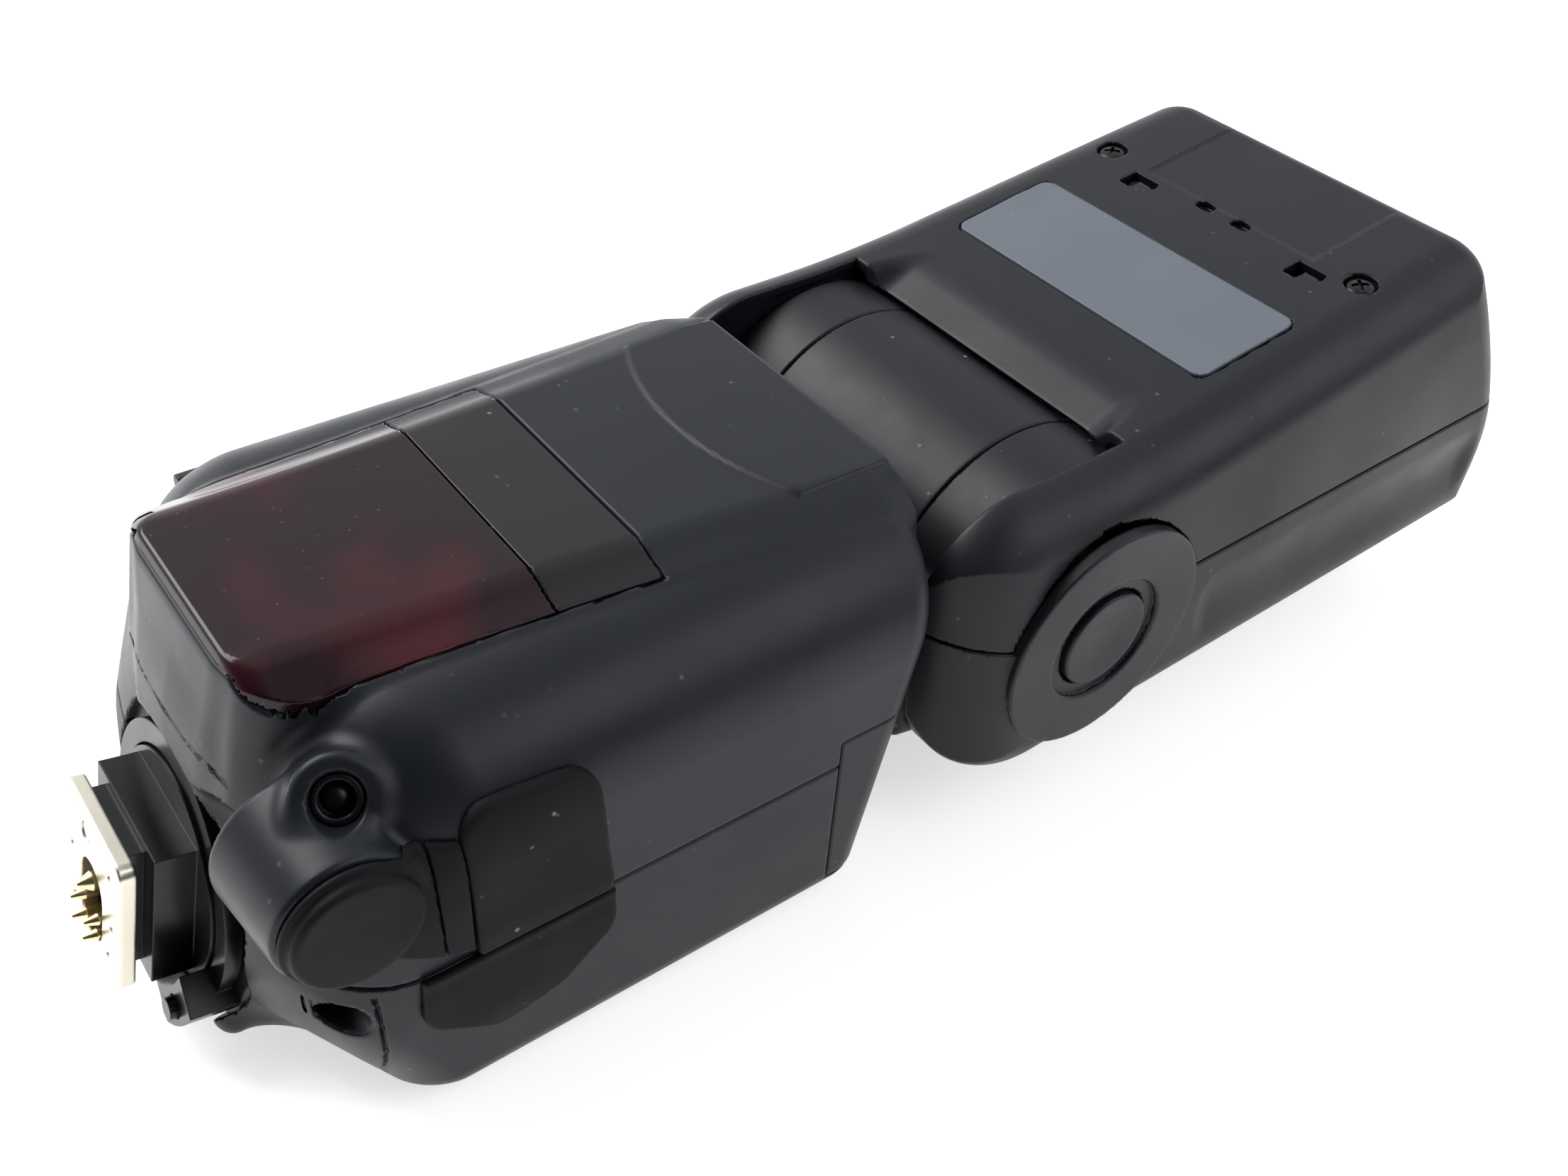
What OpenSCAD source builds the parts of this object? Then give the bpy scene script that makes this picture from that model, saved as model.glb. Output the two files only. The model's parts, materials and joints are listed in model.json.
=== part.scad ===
// Speedlight flash, lying on its control panel.
// +X runs from the shoe foot to the flash head, +Z out of the front window,
// +Y towards the battery door. z = 0 is the surface that the flash lies on.

/* [Body] */
// Width of the body across the side faces
body_w = 72.8; // [70:0.1:76]
// Height of the shoulders above the surface
body_h = 54.6; // [53:0.1:56]
// Length of the body along the swivel axis
body_l = 81.2; // [79:0.1:84]
// Lean of the foot and the swivel axis against the back of the body
rake = 12; // [10:0.5:14]
// Wall thickness of the body shells
wall = 2.2; // [1.8:0.1:2.6]
// Height of the parting line between the two body shells
seam_z = 25.6; // [24:0.1:27]

/* [Foot] */
// Width and length of the square shoe plate
foot_w = 18.6; // [18.3:0.05:18.65]
// Thickness of the shoe plate
foot_t = 2; // [1.8:0.05:2.1]
// Height of the middle of the foot above the surface
foot_z = 21.5; // [20:0.1:23]
// Clear height between the shoe plate and the block behind it
rail_gap = 1.8; // [1.7:0.05:2.2]

/* [Head] */
// Width of the head across the pivot ears
head_w = 78.4; // [77:0.1:80]
// Distance from the foot to the tilt axis along X
pivot_run = 125.5; // [124:0.1:127]
// Height of the tilt axis above the surface
pivot_z = 27.9; // [27:0.1:29]
// Upward lean of the head from the horizontal at rest
head_lean = 2.5; // [0:0.1:4]
// Length of the head beyond the tilt axis
head_l = 93.4; // [91:0.1:96]
// Radius of the turret drum
drum_r = 22; // [21:0.1:22.4]
// Inner width between the pivot ears
yoke_w = 57.2; // [56.8:0.1:58]

/* [Battery] */
// Diameter of a battery cell
cell_d = 14.3; // [13.8:0.1:14.5]
// Length of a battery cell
cell_l = 50.3; // [49.5:0.1:50.5]

/* [Hidden] */
$fn = 48;

// The foot lies this far to the -X side of the origin
foot_x = 107.99;
gap = 0.15;
fit = 0.05;
base_x = 8.8;                       // foot end of the body along the swivel axis
end_x = base_x + body_l;            // head end of the body along the swivel axis
// Tilt axis along the swivel axis and across it, from the middle of the foot
pivot_d = pivot_run * cos(rake) - (pivot_z - foot_z) * sin(rake);
swivel_z = pivot_run * sin(rake) + (pivot_z - foot_z) * cos(rake);
panel_z = 0.8;                      // recess of the control panel face
dial_x = 37;
switch_at = [27, -23];
button_y = [-21, -7, 7, 21];
cell_x = [35.6, 52];
cell_z = [15, 31.4];
door_x = [24, 67];
door_z = [5.4, 43.6];
hinge_y = 34.4;
hinge_z = 45.6;
lug_x = [33.4, 55.6];
lug_l = 4;
cap_at = [18, 39.2];
cap_seat = 35.3;                    // distance of the sync cap's seat from the middle
socket_at = [38, 40];
fold_z = 26.2;
collar_r = 14;
corner_n = [0.8266, 0.4337, 0.3561];   // slope of the upper foot end corners
corner_d = 12.32;
lever_rest = 223;                   // direction of the lever tab at rest
label_rise = 0.1165;                // slope of the label side against the head axis
lens_tilt = 10;                     // lean of the lens against the head axis
lens_h = 33.2;
strip_z = 4.5;                      // parting line of the head shells
ear_out = head_w / 2;
ear_in = yoke_w / 2;

// ---------- outlines ----------

function unit(v) = v / norm(v);
function xy(c) = [c[0], c[1]];

// Points of a corner at p, rounded by r, between its neighbours a and b
function fillet(a, p, b, r, n) = r <= 0 ? [p] :
  let (u = unit(a - p), v = unit(b - p), half = acos(u * v) / 2,
       c = p + unit(u + v) * r / sin(half), s = p + u * r / tan(half) - c,
       e = p + v * r / tan(half) - c, from = atan2(s[1], s[0]),
       turn = atan2(e[1], e[0]) - from,
       sweep = turn > 180 ? turn - 360 : turn < -180 ? turn + 360 : turn)
  [for (i = [0:n]) c + r * [cos(from + sweep * i / n), sin(from + sweep * i / n)]];

// Closed outline from corners [x, y, radius]
function rounded(corners, n = 6) = let (k = len(corners))
  [for (i = [0:k - 1]) each fillet(xy(corners[(i + k - 1) % k]), xy(corners[i]),
    xy(corners[(i + 1) % k]), corners[i][2], n)];

function box_outline(x0, x1, y0, y1, r) = rounded([[x0, y0, r], [x1, y0, r], [x1, y1, r],
  [x0, y1, r]], 5);

// ---------- frames ----------

module flash() { translate([-foot_x, 0, 0]) children(); }

// x along the swivel axis from the sole, z across it, origin in the middle of the foot
module raked() { flash() translate([0, 0, foot_z]) rotate([0, rake, 0]) children(); }

// x along the head from the tilt axis, z out of the label side
module head_frame() {
  flash() translate([pivot_run, 0, pivot_z]) rotate([0, -head_lean, 0]) children();
}

// An outline drawn in x and z, made w wide about y = 0
module slab_xz(points, w) {
  rotate([90, 0, 0]) translate([0, 0, -w / 2]) linear_extrude(w) polygon(points);
}

// An outline drawn in y and z, made from x0 to x1
module slab_yz(points, x0, x1) {
  translate([x0, 0, 0]) rotate([90, 0, 90]) linear_extrude(x1 - x0) polygon(points);
}

// A cylinder along Y from y0 to y1
module rod_y(x, z, d, y0, y1) {
  translate([x, y1, z]) rotate([90, 0, 0]) cylinder(d = d, h = y1 - y0);
}

// A cylinder along X from x0 to x1
module rod_x(y, z, d, x0, x1) {
  translate([x0, y, z]) rotate([0, 90, 0]) cylinder(d = d, h = x1 - x0);
}

module block(x0, x1, y0, y1, z0, z1) {
  translate([x0, y0, z0]) cube([x1 - x0, y1 - y0, z1 - z0]);
}

// ---------- body shape ----------

// The body, moved in by t on every side
module body_solid(t = 0) {
  half = body_w / 2 - t;
  intersection() {
    slab_yz(rounded([[-half, t, 6 - t], [half, t, 6 - t], [half, body_h - t, 15.6 - t],
      [-half, body_h - t, 15.6 - t]], 7), -20, 130);
    translate([0, 0, foot_z]) rotate([0, rake, 0]) translate([0, 0, -40])
      linear_extrude(110) polygon(rounded([[base_x + t, -half, 15 - t], [end_x - t, -half, 7 - t],
        [end_x - t, half, 7 - t], [base_x + t, half, 15 - t]], 7));
    translate([0, 0, foot_z]) rotate([0, rake, 0]) slab_xz(rounded([
      [base_x + t, -24 + t, 11 - t], [end_x + 8, -24 + t, 0], [end_x + 8, 70, 0],
      [base_x + t, 70, 0]], 7), 120);
    slab_xz(rounded([[-20, t, 0], [end_x - 2.6 - t, t, 3 - t], [end_x + 16 - t, 80, 0],
      [-20, 80, 0]], 6), 120);
    union() {
      intersection() { sloped_corner(-1, t); sloped_corner(1, t); }
      // Chin under the window, which stays proud of the sloped corners
      slab_yz([[t - 12.4, 44], [12.4 - t, 44], [12.4 - t, 60], [t - 12.4, 60]], -20, 40);
    }
  }
}

// Everything behind the plane that slopes back across an upper corner of the foot end
module sloped_corner(s, t) {
  turn = atan2(corner_n[1], corner_n[0]);
  rotate([0, 0, s * turn]) rotate([0, asin(corner_n[2]), 0])
    translate([-corner_d + t, -200, -200]) cube([400, 400, 400]);
}

// Raised front block that carries the window, the dark panel and the badge, from x0 to x1
module plateau(x0, x1, z0, grow = 0) {
  intersection() {
    union() {
      translate([0, 0, z0]) linear_extrude(56 + grow - z0) polygon([[14, -14 - grow],
        [24, -18 - grow], [34, -19 - grow], [62, -21 - grow], [99, -23.5 - grow],
        [99, 23.5 + grow], [62, 21 + grow], [34, 19 + grow], [24, 18 + grow], [14, 14 + grow]]);
      translate([0, 0, z0]) linear_extrude(60 - z0) polygon([[14, -10.8 - grow],
        [22, -13.6 - grow], [34, -15 - grow], [62, -17 - grow], [99, -20.5 - grow],
        [99, 20.5 + grow], [62, 17 + grow], [34, 15 + grow], [22, 13.6 + grow], [14, 10.8 + grow]]);
    }
    translate([16.6, 0, 57.9 + grow]) rotate([0, 1.45, 0]) block(-20, 100, -40, 40, -20, 0);
    translate([0, 0, foot_z]) rotate([0, rake, 0]) block(base_x, end_x, -40, 40, -40, 70);
    block(x0, x1, -40, 40, z0, 70);
  }
}

// Opening for the battery door and its knuckles in the +Y wall
module door_opening() {
  block(door_x[0], door_x[1], body_w / 2 - 6, 60, door_z[0], door_z[1]);
  for (x = [lug_x[0] - 6.2, lug_x[1] + lug_l + 0.2])
    block(x, x + 6, body_w / 2 - 6, 60, door_z[1] - 1, hinge_z + 2.2);
}

// Opening round the foot in the foot end of the shells
module foot_opening() {
  translate([0, 0, foot_z]) rotate([0, rake, 0]) {
    rod_x(0, 0, 39.4, base_x - 4, base_x + wall + 0.1);
  }
}

module turret_opening() {
  translate([0, 0, foot_z]) rotate([0, rake, 0]) rod_x(0, swivel_z, 33, end_x - 8, end_x + 3);
}

module corner_cut(grow) {
  block(81.6 - grow, 120, -60, -27 + grow, 4 - grow, seam_z + 4 + grow);
}

module body_shell() {
  difference() {
    union() {
      difference() { body_solid(); body_solid(wall); }
      // Boss for the sync socket
      rod_y(cap_at[0], cap_at[1], 16.4, -cap_seat, -24);
      for (x = lug_x) block(x, x + lug_l, 31.6, body_w / 2 - 0.8, 43.8, hinge_z + 2.2);
    }
    door_opening();
    foot_opening();
    turret_opening();
    rod_y(cap_at[0], cap_at[1], 9 + 2 * fit, -45, -15);
    rod_y(cap_at[0], cap_at[1], 15.4, -45, -cap_seat);
    rod_y(socket_at[0], socket_at[1], 9 + 2 * fit, -45, -15);
    rod_x(hinge_y, hinge_z, 2 + 2 * fit, 20, 70);
    // Seat of the lens in the foot end corner
    lens_axis() cylinder(d = 5.4 + 2 * fit, h = 14, center = true);
    translate([16.2, 0, 20.6]) bracket_axis() cylinder(d = 6.4 + 2 * fit, h = 20, center = true);
  }
}

module lens_axis() { translate([21, -28, 48.8]) rotate([48, -22, 0]) children(); }
module bracket_axis() { rotate([90, 0, 0]) translate([0, 0, 32]) children(); }

// ---------- body nodes ----------

module front_shell() {
  color([0.09, 0.095, 0.105]) flash() union() {
    difference() {
      intersection() { body_shell(); block(-10, 130, -60, 60, seam_z + gap / 2, 80); }
      corner_cut(gap);
      plateau(14, 63, body_h - 1.2, gap);
    }
    difference() {
      plateau(63.3, 110, body_h - 1.2);
      translate([80, 0, 55]) linear_extrude(4) polygon(box_outline(-0.1, 16.6, -15.6, 15.6, 4));
    }
  }
}

module rear_shell() {
  color([0.085, 0.09, 0.1]) flash() difference() {
    intersection() { body_shell(); block(-10, 130, -60, 60, -1, seam_z - gap / 2); }
    corner_cut(gap);
    // Recessed face of the control panel
    translate([0, 0, -1]) linear_extrude(1 + panel_z) polygon(box_outline(19.5, 83.4, -29.2, 29.2, 5));
    block(60 - gap, 82 + gap, -26 - gap, 26 + gap, -1, 4);
    for (y = button_y) block(52.4, 57.6, y - 5.8, y + 5.8, -1, 4);
    for (y = [-25, 25]) translate([46, y, -1]) cylinder(d = 7.6, h = 6);
    translate([dial_x, 0, -1]) cylinder(d = 27.6, h = 6);
    translate([switch_at[0], switch_at[1], -1]) cylinder(d = 10.6, h = 6);
  }
}

module base_plate() {
  color([0.1, 0.105, 0.115]) raked() difference() {
    rod_x(0, 0, 43, base_x + wall + 0.2, base_x + wall + 2.2);
    block(0, 30, -30, 30, -40, -14.5);
    rod_x(0, 0, 10, 0, 30);
  }
}

module af_window() { color([0.19, 0.03, 0.05]) flash() plateau(14, 49.8, body_h - 1); }

module sensor_panel() { color([0.05, 0.045, 0.055]) flash() plateau(50.2, 62.9, body_h - 1); }

module front_badge() {
  color([0.12, 0.125, 0.135]) flash() intersection() {
    translate([80, 0, 55.1]) linear_extrude(3) polygon(box_outline(0, 16.4, -15.4, 15.4, 4));
    translate([16.6, 0, 58.3]) rotate([0, 1.45, 0]) block(-20, 100, -40, 40, -20, 0);
  }
}

module metering_lens() {
  color([0.2, 0.21, 0.24]) flash() lens_axis() difference() {
    union() {
      cylinder(d = 5.4, h = 4, center = true);
      cylinder(d = 3.6, h = 5.4, center = true);
    }
    translate([0, 0, 2.1]) cylinder(d = 2.6, h = 2);
  }
}

module pc_socket() {
  color("gold") flash() difference() {
    rod_y(cap_at[0], cap_at[1], 9, -cap_seat, -25);
    rod_y(cap_at[0], cap_at[1], 5, -36, -29);
  }
  color("silver") flash() rod_y(cap_at[0], cap_at[1], 1.2, -33.4, -28);
}

module power_socket() {
  color([0.16, 0.16, 0.17]) flash() difference() {
    rod_y(socket_at[0], socket_at[1], 9, -35.2, -24);
    for (a = [90, 210, 330])
      rod_y(socket_at[0] + 2.2 * cos(a), socket_at[1] + 2.2 * sin(a), 1.4, -37, -30);
  }
}

module bracket_insert() {
  color([0.6, 0.6, 0.62]) flash() translate([16.2, 0, 20.6]) bracket_axis() difference() {
    translate([0, 0, -4.6]) cylinder(d = 6.4, h = 5);
    translate([0, 0, -4.1]) cylinder(d = 4.2, h = 6);
  }
}

module rear_corner_panel() {
  color([0.085, 0.09, 0.1]) flash() difference() {
    intersection() { body_solid(); corner_cut(0); }
    body_solid(wall);
    turret_opening();
  }
}

// Cover outline on the -Y side, above or below the fold
cover_top = [[30.6, fold_z, 0], [30.2, 49, 4.5], [46.8, 47.6, 2.5], [48.6, fold_z, 0]];
cover_low = [[25.8, fold_z - 0.3, 0], [48.8, fold_z - 0.3, 0], [48.6, 17, 4], [43, 13, 5],
  [34, 8.6, 9], [23.2, 12, 8]];

module cover_skin(corners) {
  intersection() {
    difference() { body_solid(-1.5); body_solid(-0.1); }
    translate([0, -20, 0]) rotate([90, 0, 0]) linear_extrude(30) polygon(rounded(corners, 5));
  }
}

module power_cover() {
  color([0.07, 0.072, 0.078]) flash() {
    cover_skin(cover_top);
    difference() {
      rod_y(socket_at[0], socket_at[1], 7.6, -37.2, -36.3);
      rod_y(socket_at[0], socket_at[1], 5, -36.4, -36);
    }
  }
}

module power_cover_anchor() { color([0.07, 0.072, 0.078]) flash() cover_skin(cover_low); }

module lcd_window() {
  color([0.35, 0.4, 0.38]) flash() block(60, 82, -26, 26, 0.9, 2.1);
}

module lcd_module() {
  color([0.3, 0.32, 0.3]) flash() {
    block(58.8, 82.4, -28, 28, 2.6, 6);
    block(64, 80, -20, 20, 6, 7.2);
  }
}

module main_board() {
  color([0.05, 0.3, 0.12]) flash() {
    block(27, 80, -24, 24, 45, 46.6);
    block(32, 46, -12, 6, 46.6, 49);
    block(52, 64, -16, -2, 46.6, 49.6);
    block(54, 70, 6, 18, 46.6, 48.6);
  }
}

module main_capacitor() {
  color([0.1, 0.12, 0.3]) flash() difference() {
    rod_y(73.4, 24, 22, -28, 28);
    rod_y(73.4, 24, 18, 27, 29);
  }
}

module battery_case() {
  color([0.13, 0.13, 0.14]) flash() difference() {
    block(26.4, 61.4, -20.4, 33, 6.4, 40.4);
    for (x = cell_x) for (z = cell_z) rod_y(x, z, cell_d + 0.9, -18.4, 34);
    for (x = cell_x) for (z = cell_z) rod_y(x, z, 6, -21, -18);
  }
}

module battery_cells() {
  color([0.72, 0.6, 0.25]) flash() for (x = cell_x) for (z = cell_z) {
    rod_y(x, z, cell_d, -17, cell_l - 18.2);
    rod_y(x, z, 5.4, cell_l - 18.2, cell_l - 17);
  }
}

module battery_contacts() {
  color([0.8, 0.8, 0.78]) flash() for (x = cell_x) for (z = cell_z) {
    rod_y(x, z, 11, -18.3, -17.8);
    rod_y(x, z, 5, -22.4, -18.3);
  }
}

// ---------- foot ----------

module foot_block() {
  color([0.04, 0.04, 0.045]) raked() {
    difference() {
      union() {
        block(foot_t, foot_t + rail_gap, -6.2, 6.2, -8.6, 8.6);
        block(foot_t + rail_gap, base_x - 0.2, -9.2, 9.2, -9.6, 9.6);
        rod_x(0, 0, 2 * collar_r, base_x - 0.2, base_x + wall + 0.2);
      }
      block(foot_t - 1, 10, -3.7, 3.7, -8.1, 2.1);
      rod_x(2, 6, 2.4 + 2 * fit, -1, 14);
    }
  }
}

module hot_shoe_foot() {
  color([0.78, 0.75, 0.66]) raked() difference() {
    slab_yz(rounded([[-foot_w / 2, -foot_w / 2, 0.8], [foot_w / 2, -foot_w / 2, 0.8],
      [foot_w / 2, foot_w / 2, 2.6], [-foot_w / 2, foot_w / 2, 2.6]], 4), 0, foot_t);
    block(-1, 4, -3.6, 3.6, -5, -1);
    rod_x(0, -1, 7.2, -1, 4);
    rod_x(0, -5, 7.2, -1, 4);
    rod_x(2, 6, 2.4 + 2 * fit, -1, 4);
  }
}

pin_at = [[0, 0], [-2.3, -4.1], [2.3, -4.1], [-1.9, -7], [1.9, -7]];

module contact_pins() {
  color([0.85, 0.76, 0.45]) raked() for (p = pin_at) translate([0, p[0], p[1]]) {
    rod_x(0, 0, p[0] == 0 ? 2.4 : 1.5, 0, 6.5);
    translate([-1.6, 0, 0]) rotate([0, 90, 0])
      cylinder(d1 = 0.6, d2 = p[0] == 0 ? 2.4 : 1.5, h = 1.6, $fn = 24);
  }
  color([0.04, 0.04, 0.045]) raked() block(6.5, 8, -3.4, 3.4, -7.9, 1.9);
}

module lock_pin() {
  color([0.8, 0.8, 0.8]) raked() rod_x(2, 6, 2.4, 0.2, 10.8);
}

// Lever ring round the collar, with a thumb tab towards the back
module lock_lever() {
  color([0.05, 0.05, 0.055]) raked() difference() {
    union() {
      rod_x(0, 0, 2 * collar_r + 6.4, base_x + 0.2, base_x + wall);
      rotate([lever_rest, 0, 0]) intersection() {
        rod_x(0, 0, 38.4, base_x - 3.4, base_x + wall);
        block(0, 20, 12, 20, -5, 5);
      }
    }
    rod_x(0, 0, 2 * collar_r + 0.6, 0, 30);
    rotate([lever_rest, 0, 0]) rod_x(16.8, 0, 3.2, base_x - 5, base_x - 2);
  }
}

module lever_release() {
  color([0.05, 0.05, 0.055]) raked() rotate([lever_rest, 0, 0])
    rod_x(16.8, 0, 2.8, base_x - 4.4, base_x - 2.9);
}

// ---------- side covers and battery door ----------

module pc_cap() {
  color([0.07, 0.072, 0.078]) flash() {
    rod_y(cap_at[0], cap_at[1], 14.6, -37.6, -cap_seat - 0.1);
    rod_y(cap_at[0], cap_at[1], 3.6, -cap_seat - 0.1, -33.8);
    block(cap_at[0] + 5, cap_at[0] + 9, -37.5, -36.6, cap_at[1] - 4, cap_at[1] + 4);
  }
}

module battery_door() {
  color([0.085, 0.09, 0.1]) flash() {
    difference() {
      union() {
        intersection() {
          difference() { body_solid(0); body_solid(wall - 0.2); }
          block(door_x[0] + 0.2, door_x[1] - 0.2, 20, 60, door_z[0] + 0.2, door_z[1] - 0.5);
        }
        for (x = [lug_x[0] - 5.9, lug_x[1] + lug_l + 0.5]) {
          rod_x(hinge_y, hinge_z, 3.2, x, x + 5.4);
          block(x, x + 5.4, hinge_y - 0.9, hinge_y + 1.6, door_z[1] - 1.6, hinge_z);
        }
        rod_x(hinge_y, hinge_z, 2, lug_x[0] - 0.6, lug_x[0] + 3);
        rod_x(hinge_y, hinge_z, 2, lug_x[1] + 1, lug_x[1] + lug_l + 0.6);
      }
      block(38.8, 53.2, 35.2, 40, 7.4, 13.6);
    }
  }
}

module door_contacts() {
  color([0.8, 0.8, 0.78]) flash() for (x = cell_x) block(x - 5, x + 5, 33.6, 34.3, 11, 36);
}

module door_lock() {
  color([0.05, 0.05, 0.055]) flash() {
    block(43.6, 53, 35.3, 36.6, 7.7, 13.3);
    for (i = [0:3]) block(45 + 1.8 * i, 45.9 + 1.8 * i, 36.6, 37.1, 8.2, 12.8);
  }
}

// ---------- control panel ----------

module panel_key(x, y, w, l) {
  color([0.2, 0.205, 0.215]) flash() {
    block(x - w / 2, x + w / 2, y - l / 2, y + l / 2, 0.35, 2.5);
    block(x - w / 2 - 0.8, x + w / 2 + 0.8, y - l / 2 - 0.6, y + l / 2 + 0.6, 2.5, 3.3);
  }
}
module function_button_1() { panel_key(55, button_y[0], 4.6, 11); }
module function_button_2() { panel_key(55, button_y[1], 4.6, 11); }
module function_button_3() { panel_key(55, button_y[2], 4.6, 11); }
module function_button_4() { panel_key(55, button_y[3], 4.6, 11); }

module round_key(y, shade) {
  color(shade) flash() translate([46, y, 0]) {
    translate([0, 0, 0.35]) cylinder(d = 7, h = 2.2);
    translate([0, 0, 2.5]) cylinder(d = 8.6, h = 0.8);
  }
}
module wireless_button() { round_key(-25, [0.2, 0.205, 0.215]); }
module lamp_button() { round_key(25, [0.75, 0.3, 0.1]); }

module select_dial() {
  color([0.16, 0.165, 0.175]) flash() translate([dial_x, 0, 0]) difference() {
    union() {
      translate([0, 0, 0.3]) cylinder(d = 27, h = 2.3);
      translate([0, 0, 2.5]) cylinder(d = 29.4, h = 1.2);
    }
    cylinder(d = 16.6, h = 10, center = true);
    for (a = [0:15:345]) rotate(a) translate([13.5, 0, -1]) cylinder(d = 1, h = 3.2, $fn = 16);
    rotate(45) translate([10.9, 0, 0]) cylinder(d = 2.6, h = 0.7);
  }
}

module set_button() {
  color([0.2, 0.205, 0.215]) flash() translate([dial_x, 0, 0]) {
    translate([0, 0, 0.4]) cylinder(d = 16, h = 3.6);
    translate([0, 0, 4]) cylinder(d = 19, h = 0.8);
  }
}

module power_switch() {
  color([0.2, 0.205, 0.215]) flash() translate([switch_at[0], switch_at[1], 0]) {
    translate([0, 0, 0.4]) cylinder(d = 10, h = 2.1);
    translate([0, 0, 2.5]) cylinder(d = 11.8, h = 1);
    translate([-1, -4, 0.15]) cube([2, 8, 0.4]);
  }
}

// ---------- turret ----------

module swivel_ring() {
  color([0.7, 0.7, 0.72]) raked() difference() {
    union() {
      rod_x(0, swivel_z, 32.8, end_x - wall + 0.1, end_x);
      rod_x(0, swivel_z, 34.8, end_x - 4.4, end_x - wall - 0.1);
    }
    rod_x(0, swivel_z, 26 + 2 * fit, end_x - 10, end_x + 3);
  }
}

module turret_drum() {
  color([0.08, 0.085, 0.095]) raked() difference() {
    union() {
      rod_y(pivot_d, swivel_z, 2 * drum_r, -17.3, 17.3);
      block(end_x + 2.6, pivot_d - 6, -17.3, 17.3, swivel_z - 20, swivel_z + 4);
      rod_x(0, swivel_z, 40, end_x + 0.3, end_x + 2.6);
      rod_x(0, swivel_z, 26, end_x - 6, end_x + 2.6);
      rod_x(0, swivel_z, 31, end_x - 6.4, end_x - 4.8);
    }
    // Cable way through the neck into the body
    rod_x(0, swivel_z, 12, end_x - 10, pivot_d - 12);
    rod_y(pivot_d, swivel_z, 24, -13, 13);
    rod_y(pivot_d, swivel_z, 8 - 0.02, -30, 30);
  }
}

module turret_cheeks() {
  color([0.08, 0.085, 0.095]) raked() for (s = [-1, 1]) {
    y0 = s > 0 ? 17.5 : -(ear_in - 0.6);
    y1 = s > 0 ? ear_in - 0.6 : -17.5;
    difference() {
      union() {
        rod_y(pivot_d, swivel_z, 2 * drum_r, y0, y1);
        block(end_x + 8, pivot_d - 6, y0, y1, swivel_z - 20, swivel_z + 4);
      }
      rod_y(pivot_d, swivel_z, 8 - 0.02, -40, 40);
      rod_y(pivot_d, swivel_z, 16, s > 0 ? ear_in - 2.4 : -50, s > 0 ? 50 : -(ear_in - 2.4));
    }
  }
}

module tilt_axles() {
  color([0.7, 0.7, 0.72]) raked() for (s = [-1, 1])
    rod_y(pivot_d, swivel_z, 8 - 0.02, s > 0 ? 13.5 : -(ear_in + 3.4), s > 0 ? ear_in + 3.4 : -13.5);
}

// ---------- head shape ----------

// The head with its two ears, moved in by t on every side
module head_solid(t = 0) {
  half = ear_out - t;
  intersection() {
    slab_xz(rounded([[-27 + t, -20.6 + t, 18 - t], [head_l - 1.4 - t, -19.6 + t, 5 - t],
      [head_l + 0.4 - t, -2, 22], [82.4 - t, 31.6 - t, 9 - t], [10, 23.3 - t, 20],
      [-27 + t, 24.5 - t, 17 - t]], 7), 100);
    slab_yz(rounded([[-half, -21 + t, 7 - t], [half, -21 + t, 7 - t], [half, 12, 30],
      [half - 6.5, 33 - t, 7 - t], [-half + 6.5, 33 - t, 7 - t], [-half, 12, 30]], 6), -60, 120);
    translate([0, 0, -60]) linear_extrude(120) polygon(rounded([[-30 + t, -half, 9 - t],
      [head_l + 1 - t, -half, 8 - t], [head_l + 1 - t, half, 8 - t], [-30 + t, half, 9 - t]], 6));
  }
}

// Space that the turret turns in
module yoke_space() {
  rod_y(0, 0, 2 * drum_r + 1.2, -ear_in, ear_in);
  block(-60, 8.6, -ear_in, ear_in, -60, 60);
}

module head_shell() {
  difference() {
    head_solid();
    intersection() { head_solid(2); block(24.6, 200, -60, 60, -60, 60); }
    intersection() { head_solid(2); block(-10, 30, -ear_in, ear_in, -60, 60); }
    yoke_space();
    // Light opening
    on_lens() block(-9, 30, -31, 31, -lens_h / 2 - 0.3, lens_h / 2 + 0.3);
    rod_y(0, 0, 8 + 2 * fit, -60, 60);
    for (s = [-1, 1]) rod_y(0, 0, 35.4, s > 0 ? ear_out - 1.4 : -60, s > 0 ? 60 : -ear_out + 1.4);
    rod_y(0, 0, 15.4, -60, -ear_out + 5.6);
  }
}

module head_front_shell() {
  color([0.1, 0.105, 0.115]) head_frame() difference() {
    intersection() { head_shell(); block(-60, 150, -60, 60, strip_z + gap / 2, 80); }
    on_label() translate([0, 0, -0.6]) linear_extrude(4)
      polygon(box_outline(-0.1, 20.3, -26.1, 26.1, 2));
    for (y = [-25.6, 25.6]) on_label() translate([34.4, y, -1.6]) cylinder(d = 4.6, h = 4);
    for (y = [-25.6, 25.6]) on_label() translate([34.4, y, -8]) cylinder(d = 2.4, h = 10);
  }
}

// Flat of the label side: x from the foot edge of the label, z out of the surface
module on_label() { translate([26.2, 0, 25.19]) rotate([0, -atan(label_rise), 0]) children(); }

module head_rear_shell() {
  color([0.085, 0.09, 0.1]) head_frame() difference() {
    intersection() { head_shell(); block(-60, 150, -60, 60, -60, strip_z - gap / 2); }
    // Slot for the wide panel and the catchlight card
    block(42, 120, -28.6, 28.6, -18.1, -14.9);
  }
}

// Middle of the lens opening: x out of the light opening
module on_lens() { translate([88.4, 0, 4.6]) rotate([0, -lens_tilt, 0]) children(); }

module label_plate() {
  color([0.55, 0.57, 0.6]) head_frame() on_label() translate([0, 0, -0.5])
    linear_extrude(0.6) polygon(box_outline(0.1, 20.1, -25.9, 25.9, 2));
}

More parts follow.
